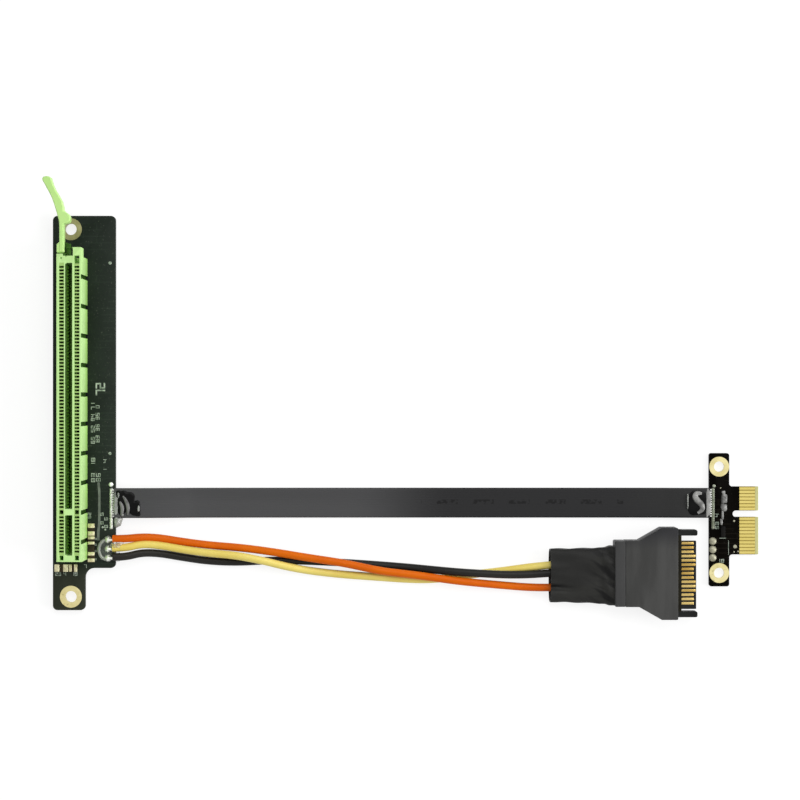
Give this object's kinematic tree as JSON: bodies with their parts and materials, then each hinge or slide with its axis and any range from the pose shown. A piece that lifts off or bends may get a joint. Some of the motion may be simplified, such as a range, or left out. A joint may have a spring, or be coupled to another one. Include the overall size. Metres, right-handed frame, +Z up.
{
  "type": "pcie riser card",
  "caption": "Riser for an expansion card: a slot board with a long green card socket, a flat ribbon to a short edge card, and a three-wire power lead with its plug.",
  "frame": {"origin": "midway between the slot board's two mounting holes, on the board's underside", "axes": "+X along the ribbon towards the edge card, +Y along the socket towards its latch, +Z up out of the socket"},
  "size_m": [0.211, 0.1302, 0.0141],
  "materials": {
    "board_slot": "dark solder mask over glass-fibre board, semi-gloss",
    "board_edge": "black solder mask, semi-gloss",
    "gold_ring": "gold-plated copper ring, satin",
    "slot_green": "lime green moulded plastic",
    "latch_green": "lime green moulded plastic",
    "contact_gold": "plated spring contact",
    "solder": "tin solder",
    "chip_dark": "dark ceramic",
    "chip_terminal": "tinned chip end",
    "ribbon_jacket": "dark grey ribbon jacket",
    "clear_glue": "clear set glue",
    "wire_orange": "orange wire insulation",
    "wire_yellow": "pale yellow wire insulation",
    "wire_black": "black wire insulation",
    "sleeve_black": "black shrunk sleeve",
    "plug_black": "dark grey moulded plastic",
    "blade_gold": "gold-plated blade",
    "finger_gold": "gold-plated finger"
  },
  "bodies": {
    "riser": {"slot_board": "board_slot", "slot_board_rings": "gold_ring", "slot_housing": "slot_green", "slot_contacts_left": "contact_gold", "slot_contacts_right": "contact_gold", "slot_solder_tails": "solder", "capacitor_bodies": "chip_dark", "capacitor_terminals": "chip_terminal", "diode_chip": "chip_dark", "ribbon_cable": "ribbon_jacket", "ribbon_conductors_slot": "solder", "ribbon_solder_slot": "solder", "ribbon_conductors_card": "solder", "ribbon_solder_card": "solder", "glue_ribbon_slot": "clear_glue", "glue_ribbon_card": "clear_glue", "glue_power_joint": "clear_glue", "wire_orange": "wire_orange", "wire_yellow": "wire_yellow", "wire_black": "wire_black", "wire_cores": "solder", "power_solder_joints": "solder", "heat_shrink": "sleeve_black", "plug_body": "plug_black", "plug_rear_cover": "plug_black", "plug_contacts": "blade_gold", "edge_board": "board_edge", "edge_board_rings": "gold_ring", "edge_fingers_top": "finger_gold", "edge_fingers_under": "finger_gold", "edge_solder_pads": "solder", "edge_chip": "chip_dark"},
    "latch": {"retention_latch": "latch_green"}
  },
  "joints": [
    {"name": "latch_release", "type": "hinge", "parent": "riser", "child": "latch", "pos_m": [-0.0012, 0.04851, 0.008], "axis": [0, 0, 1], "range_deg": [0, 10], "stiffness_Nm_per_rad": 0.02}
  ]
}
